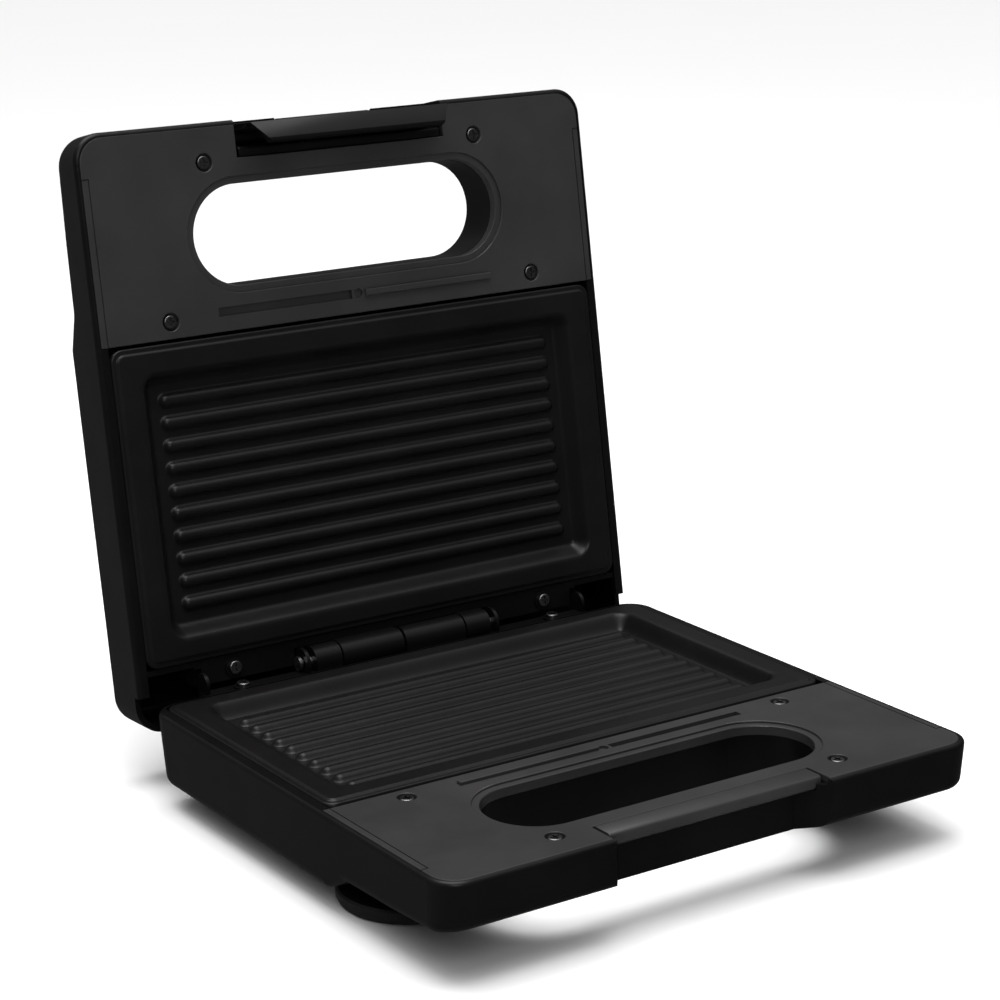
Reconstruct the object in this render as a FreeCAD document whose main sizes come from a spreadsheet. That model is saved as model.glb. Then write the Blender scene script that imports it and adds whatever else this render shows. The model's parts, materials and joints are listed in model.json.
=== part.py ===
import FreeCAD, Part
import math
import os
import re
import Sketcher
from FreeCAD import Placement, Rotation, Vector

# Panini press, stood on its feet with the lid open and resting on its stop.
# Frame: +X across the width, -Y towards the handle, +Z up, origin under the middle of the open press.
# Each half is drawn in its own frame: deck plane at Z = 0, hinge line at Y = 0, outside of the casing at -Z.
# Millimetres and degrees.

SIZES = {
    # the two halves
    "half_width": 115.0, "front": 213.8, "rear_lower": 5.5, "rear_upper": -16.5,
    "wall": 2.2, "corner": 11.0, "draft": 3.3, "depth": 29.5, "belly_round": 5.0, "rim_round": 1.8,
    "belly_end": 133.0, "grip_start": 147.0, "grip_depth": 23.0, "nose_depth": 18.0,
    "rear_rim": 4.5, "ledge_half": 110.4, "ledge_deep": 3.0, "inside_post": 4.0,
    "deck_height": 39.0, "deck_gap": 4.51, "open_angle": 98.78, "back_shift": 80.1636,
    # hot plates
    "plate_half": 110.0, "plate_rear": 9.2, "plate_front": 132.2, "plate_top": 1.2,
    "plate_skin": 3.4, "plate_corner": 5.0, "well_half": 98.5, "well_rear": 19.0, "well_front": 121.5,
    "well_slope": 4.6, "well_floor": -5.0, "rib_count": 10.0, "rib_first": 31.1, "rib_pitch": 8.79,
    "rib_half": 87.2, "rib_round": 2.8, "rib_axis": -5.4,
    # deck covers
    "cover_rear": 133.5, "cover_thick": 2.4, "line_at": 110.3, "line_end": 197.0, "line_half": 0.25,
    "line_deep": 0.5,
    "band_half": 113.0, "band_front": 212.0, "band_corner": 10.0, "cover_edge": 0.4,
    "grip_centre": 170.0, "grip_straight": 49.5, "grip_round": 22.3, "skirt": 1.5,
    "skirt_depth": 4.5, "ring_deep": 0.9,
    "tube_round": 19.4, "tube_outer": 21.9, "tube_top": -4.6,
    "seam": 141.2, "seam_half": 62.4, "seam_wide": 3.5, "seam_deep": 1.5,
    "dimple_r": 1.9, "dimple_deep": 1.0,
    # latch and its keeper
    "bay_half": 47.0, "bay_back": 202.5, "bay_half_back": 38.5, "bay_deep_upper": 13.0,
    "notch_half": 22.0, "notch_half_out": 29.0, "notch_floor": 205.6,
    "keeper_half": 45.8, "keeper_front": 208.2, "keeper_thick": 5.0,
    "bezel_front": 203.3, "tab_half": 21.0, "latch_half": 44.5, "latch_axis": 206.8, "latch_drop": -9.0,
    "latch_pin_r": 1.2, "latch_round": 3.0,
    # hinge
    "pin_r": 2.0, "pin_gap": 0.05, "pin_half": 47.0, "barrel_r": 6.0, "tongue_half": 90.0,
    "tongue_rear": -1.0, "tongue_thick": 9.0, "ear_at": 44.5, "ear_thick": 1.4, "fin_at": 88.5, "fin_r": 4.5,
    # screws, feet, inside parts
    "post_r": 3.4, "screw_r": 1.4, "screw_head_r": 2.7, "recess_r": 3.5, "recess_deep": 1.8,
    "head_thick": 1.5, "cross_arm": 1.7, "cross_wide": 0.8, "cross_deep": 1.0,
    "foot_half": 80.0, "foot_front": 137.0, "foot_r": 27.0, "foot_neck": 11.0,
    "rear_foot_half": 72.0, "foot_rear": 35.0, "rear_foot_r": 16.0,
    "foot_flange": 6.0, "foot_top": -31.5, "element_r": 3.2,
    "lens_r": 3.0, "lens_at": 30.0, "lens_front": 90.0, "gland_r": 4.1, "gland_at": 76.0, "gland_drop": -22.4,
    "gland_bore": 3.0,
}
DECK_SCREWS = [(-61.5, 198.6), (61.5, 198.6), (-83.1, 140.0), (83.1, 140.0)]
REAR_SCREWS = [(-73.0, 3.6), (73.0, 3.6)]
PLATE_SCREWS = [(-60.0, 30.0), (60.0, 30.0), (-60.0, 111.0), (60.0, 111.0)]
FEET = {"front_left": ("-foot_half", "foot_front"), "front_right": ("foot_half", "foot_front"),
        "rear_left": ("-rear_foot_half", "foot_rear"), "rear_right": ("rear_foot_half", "foot_rear")}
KNUCKLES = [(-41.0, -29.5), (0.6, 28.7)]          # each half's own, in its own frame
OTHER_KNUCKLES = [(-28.7, -0.6), (29.5, 41.0)]    # the mating half's, in the same frame

doc = FreeCAD.newDocument("PaniniPress")
sheet = doc.addObject("Spreadsheet::Sheet", "Sizes")
for row, (alias, value) in enumerate(SIZES.items(), start=1):
    sheet.set("A%d" % row, alias)
    sheet.set("B%d" % row, str(value))
    sheet.setAlias("B%d" % row, alias)
doc.recompute()

NODES = []
counter = [0]


def cell(expression):
    """Turn size names in an expression into references to the sheet."""
    return re.sub(r"[a-z_]+", lambda m: "Sizes." + m.group(0) if m.group(0) in SIZES else m.group(0),
                  str(expression))


def number(name):
    """The present value of a size."""
    return float(sheet.get(name))


def bind(obj, **paths):
    """Ties properties to expressions in the size names; a double underline stands for a dot."""
    for path, expression in paths.items():
        obj.setExpression(path.replace("__", "."), cell(expression))
    return obj


def fresh(kind, stem):
    """A new object with a name of its own."""
    counter[0] += 1
    return doc.addObject(kind, "%s_%d" % (stem, counter[0]))


def at(obj, x, y, z):
    """Puts an object at a place given in expressions."""
    return bind(obj, Placement__Base__x=x, Placement__Base__y=y, Placement__Base__z=z)


def block(x0, x1, near, far, z0, z1):
    """A box from x0 to x1, from near to far in front of the hinge line, from z0 to z1."""
    obj = fresh("Part::Box", "block")
    bind(obj, Length="(%s)-(%s)" % (x1, x0), Width="(%s)-(%s)" % (far, near), Height="(%s)-(%s)" % (z1, z0))
    return at(obj, x0, "-(%s)" % far, z0)


def rod(radius, x, near, z0, z1):
    """An upright cylinder."""
    obj = bind(fresh("Part::Cylinder", "rod"), Radius=radius, Height="(%s)-(%s)" % (z1, z0))
    return at(obj, x, "-(%s)" % near, z0)


def cross_rod(radius, x0, x1, near, z):
    """A cylinder that runs across, along X."""
    obj = bind(fresh("Part::Cylinder", "bar"), Radius=radius, Height="(%s)-(%s)" % (x1, x0))
    obj.Placement = Placement(Vector(), Rotation(Vector(0, 1, 0), 90))
    return at(obj, x0, "-(%s)" % near, z)


def long_rod(radius, x, near, far, z):
    """A cylinder that runs front to back, along Y."""
    obj = bind(fresh("Part::Cylinder", "bar"), Radius=radius, Height="(%s)-(%s)" % (far, near))
    obj.Placement = Placement(Vector(), Rotation(Vector(1, 0, 0), 90))
    return at(obj, x, "-(%s)" % near, z)


def frustum(half_top, rear_top, front_top, z_top, half_low, rear_low, front_low, z_low):
    """A block whose lower rectangle differs from its upper one."""
    obj = fresh("Part::Wedge", "frustum")
    bind(obj, Xmin="-(%s)" % half_low, Xmax=half_low, X2min="-(%s)" % half_top, X2max=half_top,
         Zmin=rear_low, Zmax=front_low, Z2min=rear_top, Z2max=front_top, Ymin=z_low, Ymax=z_top)
    obj.Placement = Placement(Vector(), Rotation(Vector(1, 0, 0), 90))
    return obj


def bay_wedge(half_front, front, half_back, back, z0, z1):
    """A block whose plan narrows from the front of the press towards the back."""
    obj = fresh("Part::Wedge", "wedge")
    return bind(obj, Xmin="-(%s)" % half_front, Xmax=half_front, X2min="-(%s)" % half_back, X2max=half_back,
                Zmin=z0, Zmax=z1, Z2min=z0, Z2max=z1, Ymin="-(%s)" % front, Ymax="-(%s)" % back)


def polygon(outline, points):
    """Draws a closed outline through points given as pairs of expressions, each corner held to its pair."""
    corners = [(evaluate(a), evaluate(b)) for a, b in points]
    count = len(corners)
    for (xa, ya), (xb, yb) in zip(corners, corners[1:] + corners[:1]):
        outline.addGeometry(Part.LineSegment(Vector(xa, ya, 0), Vector(xb, yb, 0)), False)
    for i in range(count):
        outline.addConstraint(Sketcher.Constraint("Coincident", i, 2, (i + 1) % count, 1))
    for i, pair in enumerate(points):
        for kind, expression, value in zip(("DistanceX", "DistanceY"), pair, corners[i]):
            index = outline.addConstraint(Sketcher.Constraint(kind, i, 1, value))
            outline.setExpression("Constraints[%d]" % index, cell(expression))


def prism(points, x0, x1):
    """A profile of (distance in front of the hinge line, height) points, run across from x0 to x1."""
    outline = fresh("Sketcher::SketchObject", "profile")
    outline.Placement = Placement(Vector(), Rotation(Vector(1, 1, 1), 120))
    polygon(outline, [("-(%s)" % v, z) for v, z in points])
    obj = fresh("Part::Extrusion", "prism")
    obj.Base = outline
    obj.DirMode = "Custom"
    obj.Dir = Vector(1, 0, 0)
    obj.Solid = True
    return bind(obj, LengthFwd=x1, LengthRev="-(%s)" % x0)


def evaluate(expression):
    """The number that an expression gives with the present sizes."""
    return float(sheet.evalExpression(cell(expression)))


def stadium(radius, z0, z1):
    """The hand hole's outline, two half rounds joined by straights, run from z0 up to z1."""
    outline = fresh("Sketcher::SketchObject", "stadium")
    r, half = evaluate(radius), number("grip_straight")
    outline.addGeometry(Part.LineSegment(Vector(-half, r, 0), Vector(half, r, 0)), False)
    outline.addGeometry(Part.LineSegment(Vector(half, -r, 0), Vector(-half, -r, 0)), False)
    quarter = math.pi / 2
    for x, start in ((half, -quarter), (-half, quarter)):
        circle = Part.Circle(Vector(x, 0, 0), Vector(0, 0, 1), r)
        outline.addGeometry(Part.ArcOfCircle(circle, start, start + 2 * quarter), False)
    for a, pa, b, pb in ((0, 2, 2, 2), (2, 1, 1, 1), (1, 2, 3, 2), (3, 1, 0, 1)):
        outline.addConstraint(Sketcher.Constraint("Tangent", a, pa, b, pb))
    outline.addConstraint(Sketcher.Constraint("Symmetric", 2, 3, 3, 3, -1, 1))
    outline.addConstraint(Sketcher.Constraint("PointOnObject", 2, 3, -1))
    size_at = outline.addConstraint(Sketcher.Constraint("Radius", 2, r))
    outline.setExpression("Constraints[%d]" % size_at, cell(radius))
    half_at = outline.addConstraint(Sketcher.Constraint("DistanceX", 2, 3, half))
    outline.setExpression("Constraints[%d]" % half_at, cell("grip_straight"))
    at(outline, 0, "-grip_centre", z0)
    obj = fresh("Part::Extrusion", "stadium_run")
    obj.Base = outline
    obj.DirMode = "Normal"
    obj.Solid = True
    return bind(obj, LengthFwd="(%s)-(%s)" % (z1, z0))


def fuse(*parts):
    """One solid from several."""
    obj = fresh("Part::MultiFuse", "fuse")
    obj.Shapes = list(parts)
    obj.Refine = True
    return obj


def cut(base, *tools):
    """The base less the tools."""
    obj = fresh("Part::Cut", "cut")
    obj.Base = base
    obj.Tool = tools[0] if len(tools) == 1 else fuse(*tools)
    obj.Refine = True
    return obj


def trim(obj, limit):
    """What lies inside the limit."""
    out = fresh("Part::MultiCommon", "trim")
    out.Shapes = [obj, limit]
    return out


def group(parts):
    """Several solids under one name."""
    obj = fresh("Part::Compound", "group")
    obj.Links = list(parts)
    return obj


def rounded(obj, radius, wanted):
    """Round the edges that the test picks out."""
    doc.recompute()
    r = evaluate(radius)
    picks = [(i, r, r) for i, e in enumerate(obj.Shape.Edges, start=1) if wanted(e)]
    out = fresh("Part::Fillet", "rounded")
    out.Base = obj
    out.Edges = picks
    return out


def upright(edge):
    """Edges that run mostly up and down."""
    ends = [v.Point for v in edge.Vertexes]
    return len(ends) == 2 and abs(ends[0].z - ends[1].z) > 0.8 * (ends[0] - ends[1]).Length > 0.8


def half_placement(lid):
    """Where a half stands: the base flat on its feet, the lid turned over and swung open."""
    stand = Placement(Vector(0, number("back_shift"), number("deck_height")), Rotation())
    if not lid:
        return stand
    axis = Vector(0, 0, number("deck_gap") / 2)
    turned = Placement(Vector(0, 0, number("deck_gap")), Rotation(Vector(0, 1, 0), 180))
    swing = Placement(Vector(), Rotation(Vector(1, 0, 0), -number("open_angle")), axis)
    return stand.multiply(swing.multiply(turned))


def node(obj, label, lid=False):
    """Name a finished piece and stand it in its half."""
    if any("Placement" in path for path, _ in obj.ExpressionEngine):
        obj = group([obj])
    obj.Label = label
    obj.Placement = half_placement(lid).multiply(obj.Placement)
    NODES.append(obj)
    return obj


def tub(rear, skin):
    """A solid the size of the casing, less a skin all round; it leans in towards its outside."""
    body = fresh("PartDesign::Body", "tub")
    plane = [f for f in body.Origin.OriginFeatures if f.Role == "XY_Plane"][0]
    outline = body.newObject("Sketcher::SketchObject", body.Name + "_plan")
    outline.AttachmentSupport = [(plane, "")]
    outline.MapMode = "FlatFace"
    x = evaluate("half_width-(%s)" % skin)
    y0, y1 = -evaluate("front-(%s)" % skin), -evaluate("(%s)+(%s)" % (rear, skin))
    corners = [(-x, y0), (x, y0), (x, y1), (-x, y1)]
    for i in range(4):
        a, b = corners[i], corners[(i + 1) % 4]
        outline.addGeometry(Part.LineSegment(Vector(a[0], a[1], 0), Vector(b[0], b[1], 0)), False)
    for i in range(4):
        outline.addConstraint(Sketcher.Constraint("Coincident", i, 2, (i + 1) % 4, 1))
    for side, kind in ((0, "Horizontal"), (1, "Vertical"), (2, "Horizontal"), (3, "Vertical")):
        outline.addConstraint(Sketcher.Constraint(kind, side))
    for line, kind, expression in ((0, "DistanceX", "-(half_width-(%s))" % skin),
                                   (2, "DistanceX", "half_width-(%s)" % skin),
                                   (0, "DistanceY", "-(front-(%s))" % skin),
                                   (2, "DistanceY", "-((%s)+(%s))" % (rear, skin))):
        index = outline.addConstraint(Sketcher.Constraint(kind, line, 1, evaluate(expression)))
        outline.setExpression("Constraints[%d]" % index, cell(expression))
    pad = body.newObject("PartDesign::Pad", body.Name + "_pad")
    pad.Profile = outline
    pad.Reversed = True
    bind(pad, Length="depth-(%s)" % skin, TaperAngle="-draft")
    doc.recompute()
    edges = ["Edge%d" % i for i, e in enumerate(pad.Shape.Edges, start=1) if upright(e)]
    corners_round = body.newObject("PartDesign::Fillet", body.Name + "_corners")
    corners_round.Base = (pad, edges)
    bind(corners_round, Radius="corner-0.8*(%s)" % skin)
    body.Tip = corners_round
    # the underside steps up and slims towards the handle end
    below = "-(depth+1)"
    relief = prism([("belly_end", "-depth+(%s)" % skin), ("grip_start", "-grip_depth+(%s)" % skin),
                    ("grip_start+28", "-grip_depth+0.8+(%s)" % skin),
                    ("front-12", "-nose_depth-2.6+(%s)" % skin),
                    ("front+2", "-nose_depth+1+(%s)" % skin), ("front+2", below), ("belly_end", below)],
                   "-half_width-1", "half_width+1")
    shaped = cut(body, relief)
    doc.recompute()

    def kink(edge):
        box = edge.BoundBox
        return box.YLength < 0.01 and box.ZLength < 0.01 and box.ZMax < -5 and box.YMax < -100 \
            and box.YMax > -number("front") + 5

    softened = rounded(shaped, "belly_round", kink)
    doc.recompute()

    def rim(edge):
        """The outline of the underside, where the walls turn into the floor."""
        box = edge.BoundBox
        if box.ZMax > -8 or upright(edge):
            return False
        across = box.YLength < 0.01 and box.ZLength < 0.01 and box.XLength > 100
        return not (across and -number("front") + 5 < box.YMax < -100)

    below_done = rounded(softened, "belly_round-(%s)" % skin, rim)
    if skin != "0":
        return below_done
    return rounded(below_done, "rim_round", lambda edge: edge.BoundBox.ZMin > -0.01)


def cross(x, near, z0, z1):
    """The two slots of a cross recess."""
    arm, half = "cross_arm", "cross_wide/2"
    return [block("%s-%s" % (x, dx), "%s+%s" % (x, dx), "%s-%s" % (near, dy), "%s+%s" % (near, dy), z0, z1)
            for dx, dy in ((arm, half), (half, arm))]


def screw(x, near, seat, length):
    """A pan-head screw whose head sits on seat and whose shank goes down from it."""
    top = "(%s)+head_thick" % seat
    head = rounded(rod("screw_head_r", x, near, seat, top), "0.6",
                   lambda e: e.BoundBox.ZLength < 0.01 and e.BoundBox.ZMin > evaluate(top) - 0.1)
    shank = rod("screw_r", x, near, "(%s)-(%s)" % (seat, length), "(%s)+0.1" % seat)
    return cut(fuse(head, shank), *cross(x, near, top + "-cross_deep", top + "+1"))


def screw_up(x, near, seat, length):
    """A pan-head screw put in from below: its head hangs under seat and its shank goes up."""
    low = "(%s)-head_thick" % seat
    head = rod("screw_head_r", x, near, low, seat)
    shank = rod("screw_r", x, near, "(%s)-0.1" % seat, "(%s)+(%s)" % (seat, length))
    return cut(fuse(head, shank), *cross(x, near, low + "-1", low + "+cross_deep"))


def casing(label, lid):
    """The moulded tub of one half, with its posts, hand-hole tube, latch bay and hinge."""
    rear = "rear_upper" if lid else "rear_lower"
    outside = tub(rear, "0")
    bare = cut(outside, tub(rear, "wall"))
    inside = [stadium("tube_outer-1.3", "-depth", "tube_top"),
              stadium("tube_outer", "tube_top-4", "tube_top"),
              block("-half_width", "half_width", "cover_rear-0.3", "cover_rear+1.7", "-depth",
                    "-cover_thick-0.1")]
    bay_floor = "-bay_deep_upper-wall" if lid else "-depth"
    inside.append(block("-bay_half-wall", "bay_half+wall", "bay_back-wall-1.2", "front", bay_floor,
                        "-cover_thick-0.1"))
    for x0, x1 in (("-half_width", "-ledge_half"), ("ledge_half", "half_width")):
        inside.append(block(x0, x1, rear, "cover_rear-0.2", "-ledge_deep", 0))
    inside += [rod("post_r", x, near, "-depth", "-cover_thick-recess_deep-0.05") for x, near in DECK_SCREWS]
    for x in ("-plate_half+inside_post", "plate_half-inside_post"):
        for near in ("plate_rear+inside_post", "plate_front-inside_post"):
            inside.append(rod("post_r", x, near, "-depth", "plate_top-plate_skin-0.05"))
    hinge = [block("-tongue_half", "tongue_half", "tongue_rear", "plate_rear-0.4", "-tongue_thick-1", "-1")]
    hinge += [rod("post_r+0.4", x, near, "-tongue_thick", "-0.2") for x, near in REAR_SCREWS]
    for x0, x1 in KNUCKLES:
        hinge.append(cross_rod("barrel_r", x0, x1, 0, "deck_gap/2"))
        hinge.append(block(x0, x1, 0.2, 6.0, "-tongue_thick", "deck_gap/2-0.2"))
    cuts = [stadium("tube_round", "-depth-1", "tube_top+0.01"),
            block("-bay_half", "bay_half", "bay_back-3.3", "keeper_front+0.4", "-keeper_thick-0.1", "1"),
            cover_outline("0.05", "cover_rear-0.2", "-cover_thick-0.05", "1"),
            cross_rod("pin_r+pin_gap", "-pin_half-1", "pin_half+1", 0, "deck_gap/2")]
    cuts += [rod("screw_r+0.02", x, near, "-cover_thick-recess_deep-9.4", 1) for x, near in DECK_SCREWS]
    cuts += [rod("screw_r+0.02", x, near, "-8", 1) for x, near in REAR_SCREWS]
    for x0, x1 in OTHER_KNUCKLES:
        cuts.append(cross_rod("barrel_r+0.6", x0 - 0.4, x1 + 0.4, 0, "deck_gap/2"))
        cuts.append(block(x0 - 0.4, x1 + 0.4, "tongue_rear-1", 0.01, "-tongue_thick-2", 1))
    flanges = [(side * number(name), name) for side in (-1, 1) for name in ("ear_at", "fin_at")]
    if lid:
        inside.append(block("-notch_half_out-wall", "notch_half_out+wall", "notch_floor-wall", "front",
                            "-depth", bay_floor))
        cuts.append(block("-bay_half", "bay_half", "bay_back", "front+2", "-bay_deep_upper", 1))
        cuts.append(frustum("notch_half", "notch_floor", "front+2", "-bay_deep_upper+0.1",
                            "notch_half_out", "notch_floor", "front+2", "-depth-1"))
        inside.append(block("-half_width", "half_width", "plate_rear-0.4-wall", "plate_rear-0.4",
                            "-depth", "-1"))
        for x, _ in flanges:
            cuts.append(cross_rod("barrel_r+0.6", "%s-ear_thick" % x, "%s+ear_thick" % x, 0, "deck_gap/2"))
            cuts.append(block("%s-ear_thick" % x, "%s+ear_thick" % x, "tongue_rear-1", 0.01,
                              "-tongue_thick-2", 1))
        cuts.append(block("-half_width-1", "half_width+1", "rear_upper-1", "tongue_rear", "-rear_rim", 1))
        cuts += [rod("lens_r+0.05", side + "lens_at", "lens_front", "-depth-1", "-depth+wall+1")
                 for side in ("", "-")]
        cuts.append(cross_rod("latch_pin_r+0.02", "-bay_half-wall+0.2", "bay_half+wall-0.2",
                              "latch_axis", "latch_drop"))
    else:
        cuts.append(bay_wedge("bay_half", "front", "bay_half_back", "bay_back", "-depth", "1"))
        for x, name in flanges:
            round_r = "barrel_r" if name == "ear_at" else "fin_r"
            x0, x1 = "%s-ear_thick/2" % x, "%s+ear_thick/2" % x
            hinge.append(cross_rod(round_r, x0, x1, 0, "deck_gap/2"))
            hinge.append(block(x0, x1, 0.2, 4, "-tongue_thick", "deck_gap/2-1"))
        posts = FEET.values()
        hinge += [rod("foot_neck", x, near, "foot_top", "-depth+wall+1") for x, near in posts]
        hinge += [rod("post_r", x, near, "-depth+wall", "-depth+wall+6") for x, near in posts]
        cuts += [rod("screw_r+0.02", x, near, "foot_top-1", "-depth+wall+4.5") for x, near in posts]
        cuts.append(long_rod("gland_r+0.05", "gland_at", "rear_lower-1", "rear_lower+8", "gland_drop"))
    shell = cut(fuse(bare, trim(fuse(*inside), outside), *hinge), *cuts)
    return node(shell, label, lid)


def cover_outline(grow, rear, z0, z1):
    """The deck cover's full-width outline, grown all round, from rear to its front."""
    slab = block("-band_half-%s" % grow, "band_half+%s" % grow, rear, "band_front+%s" % grow, z0, z1)
    return rounded(slab, "band_corner+%s" % grow, lambda e: upright(e) and e.BoundBox.YMax < -200)


def ring_edge(edge):
    """The inner edge of the ring round the hand hole."""
    box, reach = edge.BoundBox, number("tube_round") + 0.15
    level = -number("ring_deep")
    return abs(box.ZMin - level) < 0.01 and abs(box.ZMax - level) < 0.01 \
        and box.YMax + number("grip_centre") < reach and box.YMin + number("grip_centre") > -reach


def deck_cover(label, lid):
    """The flat cover over a half's grip end, with its skirted hand hole, screw recesses and seam."""
    slab = cover_outline("0", "cover_rear", "-cover_thick", 0)
    skirt = stadium("grip_round+skirt", "-skirt_depth", "-cover_thick+0.2")
    pads = [rod("recess_r+1", x, near, "-cover_thick-recess_deep", "-cover_thick+0.2")
            for x, near in DECK_SCREWS]
    cuts = [stadium("grip_round", "-ring_deep", 1), stadium("tube_round+0.1", "-skirt_depth-1", 1),
            block("-bay_half", "bay_half", "bay_back-3.3", "front+1", "-skirt_depth-2", 1)]
    for x, near in DECK_SCREWS:
        cuts.append(rod("recess_r", x, near, "-recess_deep", 1))
        cuts.append(rod("screw_r+0.2", x, near, "-cover_thick-recess_deep-1", 1))
    top = rounded(cut(fuse(slab, skirt, *pads), *cuts), "cover_edge", lambda e: e.BoundBox.ZMin > -0.01)
    top = rounded(top, "cover_edge", ring_edge)
    seam_rear, seam_front = "seam-seam_wide/2", "seam+seam_wide/2"
    rib = rounded(block("-seam_half", "-dimple_r-1", seam_rear + "+0.5", seam_front + "-0.5", -1,
                        "seam_deep-0.2"), "0.3", lambda e: e.BoundBox.ZMin > 1.0)
    groove = block("dimple_r+1", "seam_half", seam_rear, seam_front, "-seam_deep", 1)
    dimple = rod("dimple_r", 0, "seam", "-dimple_deep", 1)
    lines = []
    for side in ("-", ""):
        inner, outer = sorted(("%sline_at-line_half" % side, "%sline_at+line_half" % side), key=evaluate)
        lines.append(block(inner, outer, "cover_rear-1", "line_end", "-line_deep", 1))
        inner, outer = sorted((side + "line_at", side + "band_half"), key=evaluate)
        lines.append(block(inner, outer, "line_end-2*line_half", "line_end", "-line_deep", 1))
    return node(cut(fuse(top, rib), groove, dimple, *lines), label, lid)


def hot_plate(label, lid):
    """A cast plate: a flat rim, a sloping well, round-ended ribs, and lugs for its screws underneath."""
    skin = "plate_skin"
    flange = rounded(block("-plate_half", "plate_half", "plate_rear", "plate_front",
                           "plate_top-%s" % skin, "plate_top"), "plate_corner", upright)
    flange = rounded(flange, "0.9", lambda e: e.BoundBox.ZMin > number("plate_top") - 0.01)
    dish = frustum("well_half+2.6", "well_rear-2.6", "well_front+2.6", "plate_top-0.5",
                   "well_half-well_slope+2", "well_rear+well_slope-2", "well_front-well_slope+2",
                   "well_floor-%s" % skin)
    well = frustum("well_half+0.6", "well_rear-0.6", "well_front+0.6", "plate_top+0.6",
                   "well_half-well_slope", "well_rear+well_slope", "well_front-well_slope", "well_floor")
    lugs = [rod("4", x, near, "well_floor-plate_skin-6.6", "well_floor-1") for x, near in PLATE_SCREWS]
    holes = [rod("screw_r+0.02", x, near, "well_floor-plate_skin-7", "well_floor-plate_skin+0.4")
             for x, near in PLATE_SCREWS]
    pan = cut(fuse(flange, dish, *lugs), well, *holes)
    ribs = []
    for i in range(int(number("rib_count"))):
        near = "rib_first+%d*rib_pitch" % i
        ribs.append(cross_rod("rib_round", "-rib_half", "rib_half", near, "rib_axis"))
        for end in ("-rib_half", "rib_half"):
            ball = bind(fresh("Part::Sphere", "rib_end"), Radius="rib_round")
            ribs.append(at(ball, end, "-(%s)" % near, "rib_axis"))
    return node(fuse(pan, *ribs), label, lid)


def heating_element(label, lid):
    """A U-shaped sheathed element with its two cold pins."""
    z = "well_floor-plate_skin-element_r-0.1"
    bend = bind(fresh("Part::Torus", "bend"), Radius1="25", Radius2="element_r", Angle3="180")
    bend.Placement = Placement(Vector(), Rotation(Vector(0, 0, 1), -90))
    at(bend, 62, "-70.5", z)
    legs = [cross_rod("element_r", -78, 62, near, z) for near in (45.5, 95.5)]
    pins = [cross_rod("1.2", -90, -78, near, z) for near in (45.5, 95.5)]
    return node(fuse(bend, *legs, *pins), label, lid)


def reflector(label, lid):
    """A shallow sheet-metal tray that keeps the heat at the plate."""
    top = "well_floor-plate_skin-5.1"
    tray = rounded(block("-92", "92", "24.8", "116.2", "%s-2.4" % top, top), "4", upright)
    hollow = rounded(block("-91.2", "91.2", "25.6", "115.4", "%s-1.6" % top, "%s+1" % top), "3.2", upright)
    holes = [rod("screw_r+0.2", x, near, "%s-4" % top, "%s+1" % top) for x, near in PLATE_SCREWS]
    return node(cut(tray, hollow, *holes), label, lid)


def foot(label, x, near, radius):
    """A turned foot: a neck, then a wide flange with a rounded lower edge and a counterbored hole."""
    body = fresh("PartDesign::Body", "foot")
    plane = [f for f in body.Origin.OriginFeatures if f.Role == "XZ_Plane"][0]
    outline = body.newObject("Sketcher::SketchObject", body.Name + "_half")
    outline.AttachmentSupport = [(plane, "")]
    outline.MapMode = "FlatFace"
    floor = "-deck_height"
    points = [("screw_r+0.1", "foot_top-0.02"), ("foot_neck", "foot_top-0.02"),
              ("foot_neck", floor + "+foot_flange"), (radius + "-0.8", floor + "+foot_flange"),
              (radius, floor + "+foot_flange-0.8"), (radius, floor + "+2.6"), (radius + "-0.9", floor + "+0.8"),
              (radius + "-3", floor), ("screw_head_r+1.5", floor), ("screw_head_r+1.5", floor + "+2.5"),
              ("screw_r+0.1", floor + "+2.5")]
    polygon(outline, points)
    turn = body.newObject("PartDesign::Revolution", body.Name + "_turn")
    turn.Profile = outline
    turn.ReferenceAxis = (outline, ["V_Axis"])
    turn.Angle = 360
    body.Tip = turn
    at(body, x, "-(%s)" % near, 0)
    doc.recompute()
    return node(body, label)


def keeper(label):
    """The strip across the lower latch bay that the latch hooks under."""
    points = [("bay_back-3", 0), ("keeper_front-1.2", 0), ("keeper_front-0.3", -0.5), ("keeper_front", -1.4),
              ("keeper_front", "-keeper_thick+0.9"), ("keeper_front-0.9", "-keeper_thick"),
              ("bay_back-3", "-keeper_thick")]
    return node(prism(points, "-keeper_half", "keeper_half"), label)


def latch(label):
    """The swinging catch on the lid: a barrel on its pin, an arm, a ramped hook and a finger tab."""
    profile = [(3.2, -8), (3.2, 9.8), (-2.8, 9.8), (-3.2, 10.6), (-3.2, 13.6), (-2.4, 14.5), (-1.2, 14.4),
               (5.3, 9.2), (5.3, -8), (5.9, -14.6), (5.1, -15.2), (3.9, -15)]
    bar = prism([("latch_axis+%s" % v, z) for v, z in profile], "-latch_half", "latch_half")
    hook_ends = cut(block("-latch_half-2", "latch_half+2", "latch_axis-6", "latch_axis+8", 4, 16),
                    bay_wedge("bay_half-0.9", "front", "bay_half_back-0.9", "bay_back", 3, 17))
    beside_tab = [block(x0, x1, "latch_axis-5", "latch_axis+8", -17, -10.5)
                  for x0, x1 in (("-latch_half-1", "-tab_half"), ("tab_half", "latch_half+1"))]
    web = block("-latch_half", "latch_half", "latch_axis", "latch_axis+4", -10.4, -7)
    barrel = cross_rod("latch_round", "-latch_half", "latch_half", "latch_axis", "latch_drop")
    bore = cross_rod("latch_pin_r+0.05", "-latch_half-1", "latch_half+1", "latch_axis", "latch_drop")
    return node(cut(fuse(cut(bar, hook_ends, *beside_tab), web, barrel), bore), label, True)


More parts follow.
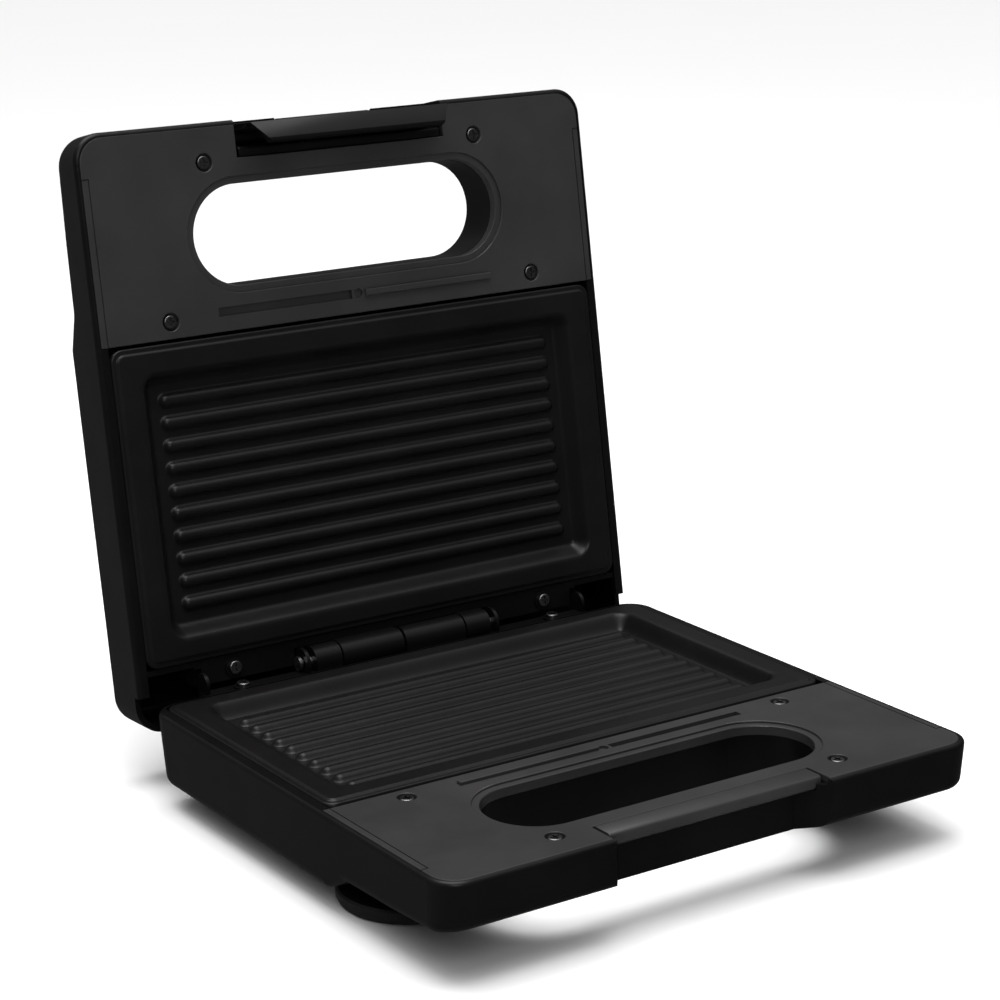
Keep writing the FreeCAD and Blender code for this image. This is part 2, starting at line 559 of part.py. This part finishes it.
def bezel(label):
    """The strip that closes the back of the lid's latch bay."""
    points = [("bay_back-3", -0.6), ("bezel_front-0.9", -0.6), ("bezel_front", -1.5),
              ("bezel_front", "-keeper_thick+0.6"), ("bezel_front-0.6", "-keeper_thick"),
              ("bay_back-3", "-keeper_thick")]
    return node(prism(points, "-keeper_half", "keeper_half"), label, True)


def gland(label):
    """The cord bush in the rear wall."""
    flange = long_rod("gland_r+1.2", "gland_at", "rear_lower-1.6", "rear_lower+0.8", "gland_drop")
    neck = long_rod("gland_r", "gland_at", "rear_lower+0.7", "rear_lower+7.6", "gland_drop")
    collar = long_rod("gland_r+0.6", "gland_at", "rear_lower+6", "rear_lower+7.6", "gland_drop")
    bore = long_rod("gland_bore", "gland_at", "rear_lower-3", "rear_lower+9", "gland_drop")
    return node(cut(fuse(flange, neck, collar), bore), label)


def lens(label, side):
    """A pilot-light lens: a dome outside the lid with a collar inside it."""
    x = side + "lens_at"
    face = rounded(rod("lens_r", x, "lens_front", "-depth-0.9", "-depth+wall+0.8"), "0.8",
                   lambda e: e.BoundBox.ZMax < evaluate("-depth-0.8"))
    collar = rod("lens_r+1.2", x, "lens_front", "-depth+wall+0.05", "-depth+wall+1")
    return node(fuse(face, collar), label, True)


def lamp(label, side):
    """The small neon tube behind a lens."""
    x = side + "lens_at"
    return node(rounded(rod("2", x, "lens_front", "-depth+wall+1.1", "-depth+wall+7.5"), "1.2",
                        lambda e: e.BoundBox.ZMin > evaluate("-depth+wall+7.4")), label, True)


casing("lower_casing", False)
casing("upper_casing", True)
for lid in (False, True):
    half = "upper" if lid else "lower"
    deck_cover(half + "_deck_cover", lid)
    hot_plate(half + "_hot_plate", lid)
    heating_element(half + "_heating_element", lid)
    reflector(half + "_reflector", lid)
    node(group([screw(x, near, "-recess_deep+0.02", "8.5") for x, near in DECK_SCREWS]),
         half + "_deck_screws", lid)
    node(group([screw(x, near, "-0.18", "7") for x, near in REAR_SCREWS]), half + "_rear_screws", lid)
    node(group([screw_up(x, near, "well_floor-plate_skin-7.52", "6.5") for x, near in PLATE_SCREWS]),
         half + "_plate_screws", lid)

keeper("latch_keeper")
bezel("latch_bezel")
latch("latch")
node(cross_rod("latch_pin_r", "-bay_half-wall+0.3", "bay_half+wall-0.3", "latch_axis", "latch_drop"),
     "latch_pin", True)
node(fuse(cross_rod("pin_r", "-pin_half", "pin_half", 0, "deck_gap/2"),
          cross_rod("pin_r+0.9", "pin_half-1.3", "pin_half", 0, "deck_gap/2"),
          cross_rod("pin_r+0.9", "-pin_half", "-pin_half+1.3", 0, "deck_gap/2")), "hinge_pin")
for name, (x, near) in FEET.items():
    foot("foot_" + name, x, near, "foot_r" if "front" in name else "rear_foot_r")
node(group([screw_up(x, near, "-deck_height+2.48", "11") for x, near in FEET.values()]), "foot_screws")
node(block("-10", "10", "62", "79", "well_floor-plate_skin-4.6", "well_floor-plate_skin-0.05"), "thermostat")
node(cross_rod("1.8", "-9", "9", "37", "well_floor-plate_skin-2.2"), "thermal_fuse")
node(block("24", "48", "30", "43", "-depth+wall+0.05", "-depth+wall+9"), "terminal_block")
gland("cord_gland")
for name, side in (("left", "-"), ("right", "")):
    lens("pilot_lens_" + name, side)
    lamp("pilot_lamp_" + name, side)

doc.recompute()
broken = [o.Label for o in doc.Objects if "Invalid" in o.State or "Error" in o.State]
broken += [o.Label for o in NODES if o.Shape.isNull() or not o.Shape.isValid()]
if broken:
    raise SystemExit("these objects failed: %s" % broken)

os.makedirs("parts", exist_ok=True)
for obj in NODES:
    shape = obj.Shape
    box = shape.BoundBox
    spans = "x %.1f %.1f y %.1f %.1f z %.1f %.1f" % (box.XMin, box.XMax, box.YMin, box.YMax, box.ZMin, box.ZMax)
    print("%-24s %d solids, %.0f mm3, %s" % (obj.Label, len(shape.Solids), shape.Volume, spans))
    shape.exportStep("parts/%s.step" % obj.Label)
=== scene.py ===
"""Looks for the panini press: materials, hot-plate surfaces, floor, light and camera around the CAD frame."""

import json
import math

import bmesh
import bpy
from mathutils import Matrix, Vector


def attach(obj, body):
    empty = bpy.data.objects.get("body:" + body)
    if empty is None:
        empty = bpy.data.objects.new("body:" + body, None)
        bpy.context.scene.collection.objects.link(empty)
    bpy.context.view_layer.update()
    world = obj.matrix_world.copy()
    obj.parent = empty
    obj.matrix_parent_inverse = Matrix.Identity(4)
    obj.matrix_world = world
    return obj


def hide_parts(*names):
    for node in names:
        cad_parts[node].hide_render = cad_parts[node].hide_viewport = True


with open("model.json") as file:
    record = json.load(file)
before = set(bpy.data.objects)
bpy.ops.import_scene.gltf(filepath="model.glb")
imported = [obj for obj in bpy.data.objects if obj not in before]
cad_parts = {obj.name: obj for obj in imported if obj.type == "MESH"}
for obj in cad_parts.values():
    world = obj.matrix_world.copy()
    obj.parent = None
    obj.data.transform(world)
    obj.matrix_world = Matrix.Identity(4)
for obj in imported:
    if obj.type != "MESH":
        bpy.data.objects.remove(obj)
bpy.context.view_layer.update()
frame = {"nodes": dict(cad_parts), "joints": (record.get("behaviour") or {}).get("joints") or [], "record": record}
MM = 0.001

# ---- the two halves' own frames, from the hinge ------------------------------------------------
# In each frame x runs across, -y towards the handle, and z is up from the deck of that half.
JOINTS = {j["name"]: j for j in frame["joints"]}
HINGE = Vector(JOINTS["lid_hinge"]["pos_m"])
OPEN = math.radians(-JOINTS["lid_hinge"]["range_deg"][0])
GAP = 4.51 * MM                       # between the two decks when the press is closed
LOWER = Matrix.Translation(HINGE - Vector((0, 0, GAP / 2)))
UPPER = (Matrix.Translation(HINGE) @ Matrix.Rotation(-OPEN, 4, "X")
         @ Matrix.Translation((0, 0, GAP / 2)) @ Matrix.Rotation(math.pi, 4, "Y"))
HALVES = {"lower": (LOWER, "base"), "upper": (UPPER, "lid")}


# ---- materials ---------------------------------------------------------------------------------
class Tree:
    """A short way to write a node tree."""

    def __init__(self, tree, coordinates):
        self.tree = tree
        self.where = self.add("ShaderNodeTexCoord").outputs[coordinates]

    def set(self, node, key, value):
        """Links or writes an input, found by its name or its number."""
        if isinstance(value, bpy.types.NodeSocket):
            self.tree.links.new(value, node.inputs[key])
        else:
            node.inputs[key].default_value = value

    def add(self, kind, **inputs):
        """A new node; an underscore stands for the space in an input's name."""
        node = self.tree.nodes.new(kind)
        for name, value in inputs.items():
            self.set(node, name.replace("_", " "), value)
        return node

    def combine(self, kind, operation, a, b):
        """A maths node of this kind on two values."""
        node = self.tree.nodes.new(kind)
        node.operation = operation
        self.set(node, 0, a)
        self.set(node, 1, b)
        return node

    def ramp(self, value, low, high, a, b):
        """Turns low to high into a to b, and holds the end values beyond them."""
        node = self.add("ShaderNodeMapRange", Value=value, From_Min=low, From_Max=high, To_Min=a, To_Max=b)
        return node.outputs["Result"]


class Look(Tree):
    """A material and its shader tree."""

    def __init__(self, name):
        self.material = bpy.data.materials.new(name)
        self.material.use_nodes = True
        super().__init__(self.material.node_tree, "Object")
        self.shader = self.tree.nodes["Principled BSDF"]

    def finish(self, **inputs):
        """Sets the shader's inputs and gives the material."""
        for name, value in inputs.items():
            self.set(self.shader, name.replace("_", " "), value)
        return self.material

    def noise(self, size, detail, rough=0.55):
        """Noise whose blobs are about this size in millimetres."""
        node = self.add("ShaderNodeTexNoise", Vector=self.where, Scale=1.0 / (size * MM), Detail=detail,
                        Roughness=rough)
        return node.outputs["Fac"]

    def mix(self, fac, a, b):
        """A colour between a and b."""
        node = self.tree.nodes.new("ShaderNodeMix")
        node.data_type = "RGBA"
        self.set(node, 0, fac)
        self.set(node, 6, a)
        self.set(node, 7, b)
        return node.outputs[2]

    def clouds(self, size, detail, low, dark, light):
        """Clouds of two colours, with blobs of about this size in millimetres."""
        return self.mix(self.ramp(self.noise(size, detail), low, 0.7, 0, 1), (*dark, 1), (*light, 1))

    def bump(self, height, depth, strength=1.0, base=None):
        """A bump of this depth in millimetres, over another one if it is given."""
        node = self.add("ShaderNodeBump", Strength=strength, Distance=depth * MM, Height=height)
        if base is not None:
            self.set(node, "Normal", base)
        return node.outputs["Normal"]


def moulded(name, colour, rough, spec, grain, depth, scuffs):
    """Moulded plastic: a fine spark-eroded grain, a little cloudiness and rubbed patches."""
    n = Look(name)
    light = [c * 1.35 + 0.0004 for c in colour]
    patches = n.ramp(n.noise(14, 5, 0.65), 0.4, 0.72, rough - scuffs / 2, rough + scuffs)
    fine = n.bump(n.noise(grain, 2), depth)
    return n.finish(Base_Color=n.clouds(38, 4, 0.35, colour, light), Roughness=patches,
                    Specular_IOR_Level=spec, Normal=n.bump(n.noise(9, 2), 0.006, 0.6, fine))


def nonstick(name):
    """Matte non-stick coating: a sprayed orange-peel skin with tiny pale flecks."""
    n = Look(name)
    cells = n.add("ShaderNodeTexVoronoi", Vector=n.where, Scale=1.0 / (0.9 * MM))
    spots = n.ramp(cells.outputs["Distance"], 0.05, 0.17, 1, 0)
    sparse = n.ramp(n.noise(1.3, 1), 0.53, 0.60, 0, 1)
    flecks = n.combine("ShaderNodeMath", "MULTIPLY", spots, sparse).outputs[0]
    coating = n.clouds(30, 4, 0.35, (0.0052, 0.0047, 0.0047), (0.0072, 0.0066, 0.0066))
    peel = n.bump(n.noise(0.75, 3), 0.022, 0.7)
    return n.finish(Base_Color=n.mix(flecks, coating, (0.024, 0.023, 0.023, 1)),
                    Roughness=n.ramp(n.noise(2.2, 4), 0.3, 0.7, 0.28, 0.38), Specular_IOR_Level=0.24,
                    Normal=n.bump(n.noise(0.22, 2), 0.008, 0.6, peel))


def metal(name, colour, rough, size, depth):
    """Metal with faint stains and marks of about this size in millimetres."""
    n = Look(name)
    light = [min(1, c * 1.25) for c in colour]
    return n.finish(Metallic=1.0, Base_Color=n.clouds(size * 3, 3, 0.3, colour, light),
                    Roughness=n.ramp(n.noise(size, 3), 0.3, 0.7, rough - 0.06, rough + 0.1),
                    Normal=n.bump(n.noise(size * 0.5, 3), depth))


def tinted(name, colour):
    """Clear plastic or glass with a tint."""
    n = Look(name)
    deep = [c * 0.7 for c in colour]
    return n.finish(Base_Color=n.clouds(1.5, 2, 0.3, colour, deep), Transmission_Weight=0.25,
                    Roughness=n.ramp(n.noise(3, 3), 0.3, 0.7, 0.08, 0.18),
                    Normal=n.bump(n.noise(1.2, 2), 0.01))


# colour, roughness, specular level, size and depth of the grain in mm, spread of the roughness
MOULDED = {
    "casing_black": ((0.0030, 0.0027, 0.0031), 0.30, 0.22, 0.55, 0.006, 0.04),
    "deck_satin": ((0.0235, 0.0225, 0.0232), 0.36, 0.34, 0.4, 0.006, 0.05),
    "foot_plastic": ((0.008, 0.0075, 0.008), 0.5, 0.35, 0.6, 0.02, 0.04),
    "bush_rubber": ((0.012, 0.012, 0.012), 0.65, 0.3, 0.6, 0.02, 0.04),
    "ceramic_white": ((0.62, 0.6, 0.55), 0.7, 0.4, 0.5, 0.03, 0.04),
    "terminal_nylon": ((0.66, 0.65, 0.6), 0.45, 0.45, 0.6, 0.01, 0.04),
}
# colour, roughness, size and depth of the marks in mm
METALS = {
    "screw_steel": ((0.17, 0.165, 0.17), 0.27, 0.8, 0.004),
    "element_sheath": ((0.3, 0.29, 0.28), 0.45, 1.2, 0.01),
    "tray_aluminium": ((0.7, 0.7, 0.71), 0.35, 1.2, 0.01),
    "pin_steel": ((0.33, 0.33, 0.34), 0.3, 1.2, 0.01),
    "fuse_metal": ((0.5, 0.47, 0.4), 0.3, 1.2, 0.01),
}
TINTED = {
    "lens_red": ((0.38, 0.015, 0.012),),
    "lens_green": ((0.015, 0.24, 0.04),),
    "lamp_glass": ((0.8, 0.72, 0.62),),
}

COATED = {"plate_nonstick": ()}

MATERIALS = {}
for make, looks in ((moulded, MOULDED), (nonstick, COATED), (metal, METALS), (tinted, TINTED)):
    for name, values in looks.items():
        MATERIALS[name] = make(name, *values)

for part in frame["record"]["subparts"]:
    shown = frame["nodes"][part["node"]]
    shown.data.materials.clear()
    shown.data.materials.append(MATERIALS[part["material_slot"]])


# ---- hot plates --------------------------------------------------------------------------------
# Lengths are in millimetres: u across from the middle, v from the hinge line, heights from the deck.
PLATE = {"half": 110.0, "rear": 9.2, "front": 132.2, "round": 5.0, "top": 1.2, "skirt": -1.55,
         "edge_drop": 0.35, "edge_width": 0.6, "lip_drop": 0.75, "lip_start": 1.9, "lip_end": 2.7,
         "well_half": 98.5, "well_rear": 19.0, "well_front": 121.5, "well_round": 6.5, "well_floor": -5.0,
         "slope": 4.6, "slope_start": -0.18, "slope_end": 1.14, "ribs": 10, "first": 31.1, "pitch": 8.79,
         "rib_half": 87.2, "rib_r": 2.8, "rib_axis": -5.4, "rib_reach": 0.6, "rib_blend": 0.9,
         "rib_margin": 2}
# Runs of grid lines from the left or rear edge inwards, as (start, end, steps), and the steps between
# the last run and its mirror image. Those along v count from the edge.
ACROSS = ((-110, -109, 4), (-109, -105, 10), (-105, -98.7, 3), (-98.7, -93, 12), (-93, -84, 18))
ACROSS_MIDDLE = 22
ALONG = ((0, 1, 4), (1, 5, 10), (5, 9.6, 3))
ALONG_MIDDLE = 176


def smooth(a, b, x):
    """Rises softly from 0 at a to 1 at b."""
    t = min(1.0, max(0.0, (x - a) / (b - a)))
    return t * t * (3 - 2 * t)


def inside(u, v, half, rear, front, corner):
    """How far a point is inside a rounded rectangle; negative outside."""
    du = abs(u) - (half - corner)
    dv = abs(v - (rear + front) / 2) - ((front - rear) / 2 - corner)
    return corner - math.hypot(max(du, 0), max(dv, 0)) - min(max(du, dv), 0)


def soft_max(a, b, blend):
    """The larger of two heights, with a fillet where they meet."""
    h = max(blend - abs(a - b), 0.0) / blend
    return max(a, b) + h * h * blend / 4


def plate_height(u, v):
    """Height of the cast plate: a lipped rim, a sloping well, and ribs with round ends in it."""
    p = PLATE
    edge = inside(u, v, p["half"], p["rear"], p["front"], p["round"])
    z = p["top"] - p["lip_drop"] * (1 - smooth(p["lip_start"], p["lip_end"], edge))
    z -= p["edge_drop"] * (1 - smooth(0.0, p["edge_width"], edge)) ** 2
    well = inside(u, v, p["well_half"], p["well_rear"], p["well_front"], p["well_round"])
    depth = p["top"] - p["well_floor"]
    z -= depth * smooth(p["slope_start"], p["slope_end"], well / p["slope"])
    if well > p["slope"] - p["rib_margin"]:
        rib = min(max(round((v - p["first"]) / p["pitch"]), 0), p["ribs"] - 1)
        across = v - (p["first"] + rib * p["pitch"])
        past = max(abs(u) - p["rib_half"], 0.0)
        far = across * across + past * past
        if far < (p["rib_r"] + p["rib_reach"]) ** 2:
            dome = p["rib_axis"] + math.sqrt(max(p["rib_r"] ** 2 - far, 0.0))
            z = soft_max(z, dome, p["rib_blend"])
    return z


def grid_lines(runs, middle):
    """Positions of grid lines from runs of (start, end, steps), a middle run, and the same runs mirrored."""
    start = runs[-1][1]
    mirrored = [(-b, -a, steps) for a, b, steps in reversed(runs)]
    lines = []
    for a, b, steps in [*runs, (start, -start, middle), *mirrored]:
        lines += [a + (b - a) * i / steps for i in range(steps)]
    return lines + [mirrored[-1][1]]


def corner_fit(x, y, half_x, half_y, r):
    """Moves the grid points in the corner squares so that the grid's outline is rounded."""
    dx, dy = abs(x) - (half_x - r), abs(y) - (half_y - r)
    if dx <= 0 or dy <= 0:
        return x, y
    a, b = dx / r, dy / r
    fx, fy = a * math.sqrt(1 - b * b / 2), b * math.sqrt(1 - a * a / 2)
    return math.copysign(half_x - r + fx * r, x), math.copysign(half_y - r + fy * r, y)


def plate_grid(matrix):
    """The top of a hot plate as a grid of points and faces."""
    p = PLATE
    half_v = (p["front"] - p["rear"]) / 2
    mid_v = (p["front"] + p["rear"]) / 2
    us = grid_lines(ACROSS, ACROSS_MIDDLE)
    vs = grid_lines([(a - half_v, b - half_v, steps) for a, b, steps in ALONG], ALONG_MIDDLE)
    mesh = bmesh.new()
    rows = []
    for dv in vs:
        row = []
        for u in us:
            fu, fv = corner_fit(u, dv, p["half"], half_v, p["round"])
            z = plate_height(fu, mid_v + fv)
            row.append(mesh.verts.new(matrix @ (Vector((fu, -(mid_v + fv), z)) * MM)))
        rows.append(row)
    for lower, upper in zip(rows, rows[1:]):
        for i in range(len(us) - 1):
            mesh.faces.new((lower[i], upper[i], upper[i + 1], lower[i + 1]))
    return mesh


def hot_plate(side):
    """The visible skin of a hot plate: its top and the skirt around it."""
    matrix, body = HALVES[side]
    p = PLATE
    mesh = plate_grid(matrix)
    rim = [e for e in mesh.edges if e.is_boundary]
    made = bmesh.ops.extrude_edge_only(mesh, edges=rim)
    down = matrix.to_3x3() @ Vector((0, 0, (p["skirt"] - p["top"] + p["lip_drop"]) * MM))
    bmesh.ops.translate(mesh, vec=down, verts=[g for g in made["geom"] if isinstance(g, bmesh.types.BMVert)])
    bmesh.ops.recalc_face_normals(mesh, faces=mesh.faces)
    obj = finish_mesh(mesh, side + "_hot_plate_skin", "plate_nonstick", body)
    up = matrix.to_3x3() @ Vector((0, 0, 1))
    top_face = obj.data.polygons[len(obj.data.polygons) // 3]
    if top_face.normal.dot(up) < 0:
        obj.data.flip_normals()
    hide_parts(side + "_hot_plate")


def finish_mesh(mesh, name, slot, body):
    """Turns a bmesh into a smooth object in a material slot, carried by a body."""
    data = bpy.data.meshes.new(name)
    mesh.to_mesh(data)
    mesh.free()
    data.materials.append(MATERIALS[slot])
    obj = bpy.data.objects.new(name, data)
    bpy.context.scene.collection.objects.link(obj)
    data.shade_smooth()
    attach(obj, body)
    return obj


for side in HALVES:
    hot_plate(side)


# ---- softened edges on the moulded parts --------------------------------------------------------
SOFT_EDGES = {"latch": 0.4, "latch_keeper": 0.3, "latch_bezel": 0.3}
SOFT_ANGLE = math.radians(30)         # edges that turn by more than this are softened
SOFT_STEPS = 3
WELD = 0.01                           # points nearer than this are joined, in millimetres


def soften(node, width):
    """Gives a moulded part the small edge radius that its tool leaves."""
    obj = frame["nodes"][node]
    weld = obj.modifiers.new("weld", "WELD")
    weld.merge_threshold = WELD * MM
    bevel = obj.modifiers.new("edge", "BEVEL")
    bevel.width = width * MM
    bevel.segments = SOFT_STEPS
    bevel.limit_method = "ANGLE"
    bevel.angle_limit = SOFT_ANGLE
    bevel.harden_normals = True
    obj.data.shade_smooth()


for name, width in SOFT_EDGES.items():
    soften(name, width)


# ---- floor, light and camera --------------------------------------------------------------------
FLOOR_SIZE = 14
AIM = Vector((0, 0, 0.1))             # where the softboxes point
# place, size and power of each softbox, in metres and watts
SOFTBOXES = {
    "top": ((-0.15, 0.0, 1.5), (1.3, 1.1), 17),
    "key": ((-0.9, -1.7, 1.3), (0.9, 0.9), 8),
}
ROOM_LIGHT = 1.6
ROOM_SPREAD = math.radians(70)
LEFT_REAR = (-0.8, 0.6, 0.0)          # the side of the studio that is a little brighter
LENS = 97.0
SENSOR = 36.0
# the camera's place, from the hinge at the level of the base's deck, and its right and up directions
STAND = Vector((-0.5361, -0.8843, 0.3469))
STAND_RIGHT = Vector((0.8312, -0.5558, -0.0141))
STAND_UP = Vector((0.1596, 0.2142, 0.9637))


def floor():
    """A plain pale floor; glossy rays pass it, so that the black walls mirror the dim studio instead."""
    bpy.ops.mesh.primitive_plane_add(size=FLOOR_SIZE, location=(0, 0, 0))
    obj = bpy.context.object
    obj.name = "floor"
    n = Look("floor")
    pale = n.mix(n.noise(400, 2), (0.94, 0.94, 0.94, 1), (0.96, 0.96, 0.96, 1))
    obj.data.materials.append(n.finish(Base_Color=pale, Roughness=0.8, Specular_IOR_Level=0.1))
    obj.visible_glossy = False


def softbox(name, place, size, power):
    """A rectangular area light that points at the press."""
    light = bpy.data.lights.new(name, "AREA")
    light.shape = "RECTANGLE"
    light.size, light.size_y = size
    light.energy = power
    obj = bpy.data.objects.new(name, light)
    obj.location = place
    obj.rotation_euler = (AIM - Vector(place)).to_track_quat("-Z", "Y").to_euler()
    bpy.context.scene.collection.objects.link(obj)


def room_light():
    """Soft light from straight above that isn't mirrored."""
    light = bpy.data.lights.new("room", "SUN")
    light.energy = ROOM_LIGHT
    light.angle = ROOM_SPREAD
    room = bpy.data.objects.new("room", light)
    room.visible_glossy = False
    bpy.context.scene.collection.objects.link(room)


def studio():
    """A dim room that is brighter overhead and, faintly, at its left rear, with two softboxes in it."""
    world = bpy.data.worlds.new("studio")
    bpy.context.scene.world = world
    world.use_nodes = True
    n = Tree(world.node_tree, "Generated")
    height = n.add("ShaderNodeSeparateXYZ", Vector=n.where).outputs["Z"]
    overhead = n.ramp(height, 0.4, 1.0, 0.06, 0.9)
    towards = n.combine("ShaderNodeVectorMath", "DOT_PRODUCT", n.where, LEFT_REAR).outputs["Value"]
    left_rear = n.ramp(towards, 0.35, 1.0, 0.0, 0.07)
    background = n.tree.nodes["Background"]
    n.set(background, "Color", (1, 1, 1, 1))
    n.set(background, "Strength", n.combine("ShaderNodeMath", "ADD", overhead, left_rear).outputs[0])
    for name, values in SOFTBOXES.items():
        softbox(name, *values)
    room_light()
    bpy.context.scene.view_settings.view_transform = "Standard"


def camera():
    """Stands at the front left, a little above the press, and looks down at it."""
    data = bpy.data.cameras.new("camera")
    data.lens = LENS
    data.sensor_width = SENSOR
    obj = bpy.data.objects.new("camera", data)
    bpy.context.scene.collection.objects.link(obj)
    deck = HINGE - Vector((0, 0, GAP / 2))
    right = STAND_RIGHT.normalized()
    back = right.cross(STAND_UP.normalized()).normalized()
    up = back.cross(right).normalized()
    turn = Matrix((right, up, back)).transposed().to_4x4()
    obj.matrix_world = Matrix.Translation(deck + STAND) @ turn
    bpy.context.scene.camera = obj


floor()
studio()
camera()
